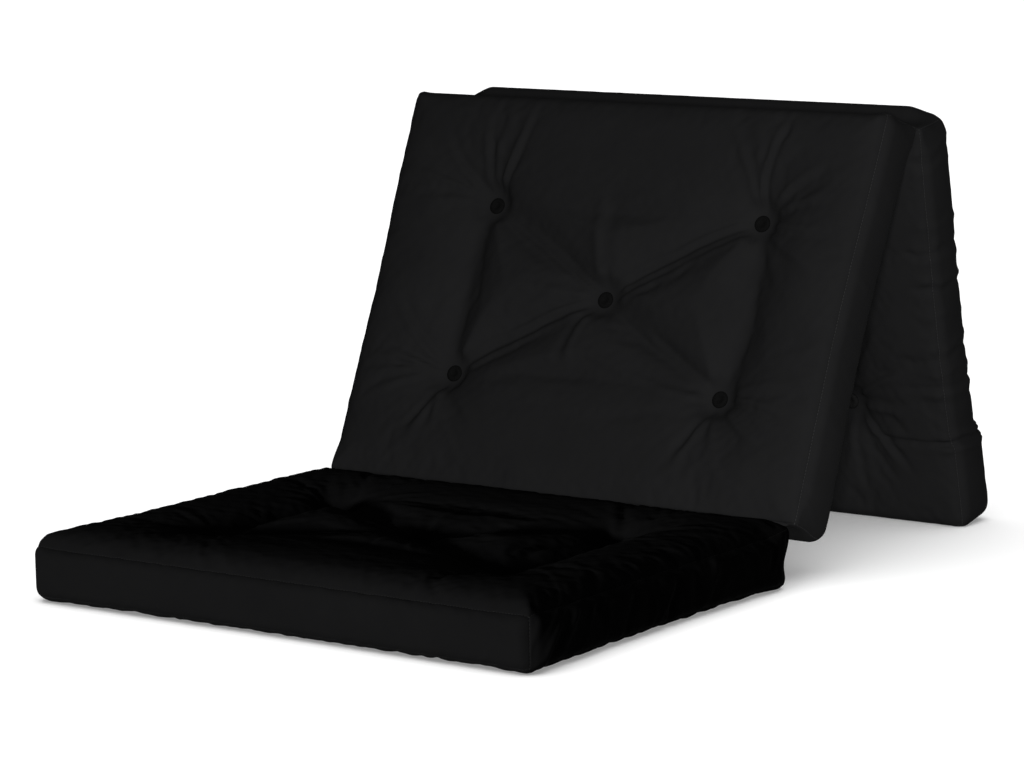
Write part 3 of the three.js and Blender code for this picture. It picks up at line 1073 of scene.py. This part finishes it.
def turned(name, profile, sides, centre, matrix):
    """A solid turned about the section's Z axis from (radius, height) points, both ends on the axis."""
    angles = np.linspace(0, 2 * math.pi, sides, endpoint=False)
    rings = [[(r * math.cos(a), r * math.sin(a), h) for a in angles] for r, h in profile[1:-1]]
    points = [(0, 0, profile[0][1])] + [p for ring in rings for p in ring] + [(0, 0, profile[-1][1])]
    faces = []
    for k in range(len(rings) - 1):
        base = 1 + k * sides
        for i in range(sides):
            j = (i + 1) % sides
            faces.append((base + i, base + j, base + sides + j, base + sides + i))
    last = len(points) - 1
    for i in range(sides):
        j = (i + 1) % sides
        faces.append((0, 1 + j, 1 + i))
        faces.append((last, last - sides + i, last - sides + j))
    mesh = bpy.data.meshes.new(name)
    mesh.from_pydata([matrix @ (Vector(p) + centre) for p in points], [], faces)
    smooth(mesh)
    return placed(name, mesh)


def button_profile(sign):
    """A soft domed disc with a dished middle, from its seat to its top."""
    r, h = BUTTON_RADIUS, BUTTON_HEIGHT
    shape = [
        (0, 0),
        (0.80 * r, 0),
        (0.95 * r, 0.10 * h),
        (1.00 * r, 0.38 * h),
        (0.97 * r, 0.66 * h),
        (0.86 * r, 0.90 * h),
        (0.70 * r, 1.00 * h),
        (0.52 * r, 0.94 * h),
        (0.36 * r, 0.76 * h),
        (0.20 * r, 0.60 * h),
        (0, 0.54 * h),
    ]
    return [(radius, sign * height) for radius, height in (shape if sign > 0 else shape[::-1])]


def tufts(section):
    """The section's five buttons, and the twine and button that hold each one from under the section."""
    for number, tuft in enumerate(section.tufts, start=1):
        seat = tuft.z - BUTTON_HEIGHT / 2
        place = Vector((tuft.x, tuft.y, seat))
        button = turned(f"{section.name}_button_{number}", button_profile(1), 28, place, section.matrix)
        button.data.materials.append(FELT)
        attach(button, section.name)
        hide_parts(f"{section.name}_tuft_button_{number}")
        tie_profile = (
            button_profile(-1)[:-1]
            + [(TWINE_RADIUS, 0)]
            + [(TWINE_RADIUS, 2 * seat + 0.40 * BUTTON_HEIGHT), (0, 2 * seat + 0.46 * BUTTON_HEIGHT)]
        )
        under = Vector((tuft.x, tuft.y, -seat))
        tie = turned(f"{section.name}_tie_{number}", tie_profile, 28, under, section.matrix)
        tie.data.materials.append(TWINE)
        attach(tie, section.name)
        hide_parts(f"{section.name}_tuft_tie_{number}")


# -------- fold seams


def fold_seam(node, body, seed, left_in, fullness):
    """The rolled hem along a fold: a full, slightly uneven roll of cloth."""
    low, high = (np.array(v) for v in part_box(node))
    low[0] += left_in
    middle, radius = (low + high) / 2, (high[2] - low[2]) / 2
    length = high[0] - low[0]
    rng = np.random.default_rng(seed)
    steps, sides = 260, 16
    s = np.linspace(-length / 2, length / 2, steps)
    angle = np.linspace(0, 2 * math.pi, sides, endpoint=False)
    swell = 1 + 0.05 * np.sin(s / 0.011 + 1.3 * np.sin(s / 0.05)) + 0.03 * rng.normal(0, 1, steps)
    ends = np.sqrt(np.clip(1 - (np.abs(s) / (length / 2)) ** 60, 0.02, 1))
    r = radius * fullness * swell * ends
    twist = 0.10 * np.sin(s[:, None] / 0.007 + 3 * angle[None, :])
    ring = r[:, None] * (1 + twist)
    points = np.stack(
        [
            np.repeat(s[:, None], sides, 1) + middle[0],
            middle[1] + ring * np.cos(angle),
            middle[2] + ring * np.sin(angle),
        ],
        axis=-1,
    ).reshape(-1, 3)
    grid = np.arange(steps * sides).reshape(steps, sides)
    nxt = np.roll(grid, -1, axis=1)
    quads = np.stack([grid[:-1], nxt[:-1], nxt[1:], grid[1:]], axis=-1).reshape(-1, 4)
    faces = quads.tolist() + [grid[0].tolist()[::-1], grid[-1].tolist()]
    mesh = bpy.data.meshes.new(node)
    mesh.from_pydata(points.tolist(), [], faces)
    smooth(mesh)
    layer = mesh.uv_layers.new(name="cloth")
    for loop in mesh.loops:
        p = mesh.vertices[loop.vertex_index].co
        layer.data[loop.index].uv = (p.x, p.z)
    hem = placed(node.replace("_seam", "_hem"), mesh)
    hem.data.materials.append(COTTON)
    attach(hem, body)
    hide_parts(node)


# -------- studio


def towards(azimuth, elevation):
    """The way out of the scene at angles in radians. Azimuth 0 is in front of the seat."""
    flat = math.cos(elevation)
    return Vector((math.sin(azimuth) * flat, -math.cos(azimuth) * flat, math.sin(elevation)))


def lamp(name, kind, azimuth, elevation, distance, power, size, lights):
    """A lamp that shines on the given pieces only."""
    data = bpy.data.lights.new(name, kind)
    data.energy = power
    if kind == "AREA":
        data.shape = "DISK"
        data.size = size
    else:
        data.angle = size
    obj = placed(name, data)
    way = towards(math.radians(azimuth), math.radians(elevation))
    obj.location = Vector((0, 0, 0.3)) + way * distance
    obj.rotation_euler = (-way).to_track_quat("-Z", "Y").to_euler()
    receivers = bpy.data.collections.new(name + "_lights")
    for piece in lights:
        receivers.objects.link(piece)
    obj.light_linking.receiver_collection = receivers


def studio():
    """A white floor and a dim room. The back and prop, the seat and the floor have a lamp each."""
    bpy.ops.mesh.primitive_plane_add(size=80)
    floor = bpy.context.object
    floor.name = "floor"
    material, tree, shader = new_material("white_floor", 0.9, 0.0)
    shader.inputs["Base Color"].default_value = (0.80, 0.80, 0.80, 1)
    shader.inputs["Emission Color"].default_value = (1, 1, 1, 1)
    shader.inputs["Emission Strength"].default_value = 0.25
    floor.data.materials.append(material)
    floor.visible_diffuse = False
    floor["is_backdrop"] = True

    world = bpy.data.worlds.new("studio")
    bpy.context.scene.world = world
    world.use_nodes = True
    tree = world.node_tree
    place = tree.nodes.new("ShaderNodeTexCoord")
    split = tree.nodes.new("ShaderNodeSeparateXYZ")
    ramp = two_tones(tree, 0.00, grey(0.06), 0.80, grey(0.13))
    tree.links.new(place.outputs["Generated"], split.inputs[0])
    tree.links.new(split.outputs["Z"], ramp.inputs["Fac"])
    tree.links.new(ramp.outputs["Color"], tree.nodes["Background"].inputs["Color"])
    tree.nodes["Background"].inputs["Strength"].default_value = 1.0

    standing = [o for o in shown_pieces() if body_of(o)[0] in ("back", "prop")]
    lying = [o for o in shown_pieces() if body_of(o)[0] == "seat"]
    lamp("key", "AREA", 38, 11, 4.6, 780, 0.6, standing)
    lamp("low_key", "AREA", 3, 2.0, 6.0, 640, 0.6, lying)
    lamp("overhead", "SUN", 0, 80, 10.0, 3.4, math.radians(80), [floor])

    bpy.context.scene.view_settings.view_transform = "Standard"


def camera():
    """A long lens, a little above the seat and to its right, held with a slight tilt."""
    aim = Vector((-0.019, -0.019, 0.280))
    distance, azimuth, elevation, roll = 6.006, 35.88, 9.35, -1.006
    a, e, t = (math.radians(v) for v in (azimuth, elevation, roll))
    forward = -towards(a, e)
    right = Vector((math.cos(a), math.sin(a), 0))
    up = right.cross(forward)
    level_right = right * math.cos(t) + up * math.sin(t)
    level_up = up * math.cos(t) - right * math.sin(t)
    data = bpy.data.cameras.new("camera")
    data.lens = 137.46
    data.sensor_width = 36
    data.clip_end = 200
    obj = placed("camera", data)
    matrix = Matrix((level_right, level_up, -forward)).transposed().to_4x4()
    matrix.translation = aim - forward * distance
    obj.matrix_world = matrix
    bpy.context.scene.camera = obj


camera()
for section_name in SECTIONS:
    part = Section(section_name)
    padded_section(part)
    tufts(part)
    core = frame["nodes"][f"{section_name}_foam_core"]
    core.data.materials.clear()
    core.data.materials.append(FOAM)
fold_seam("front_fold_seam", "back", seed=3, left_in=0.030, fullness=0.72)
fold_seam("rear_fold_seam", "prop", seed=4, left_in=0.006, fullness=0.97)
studio()
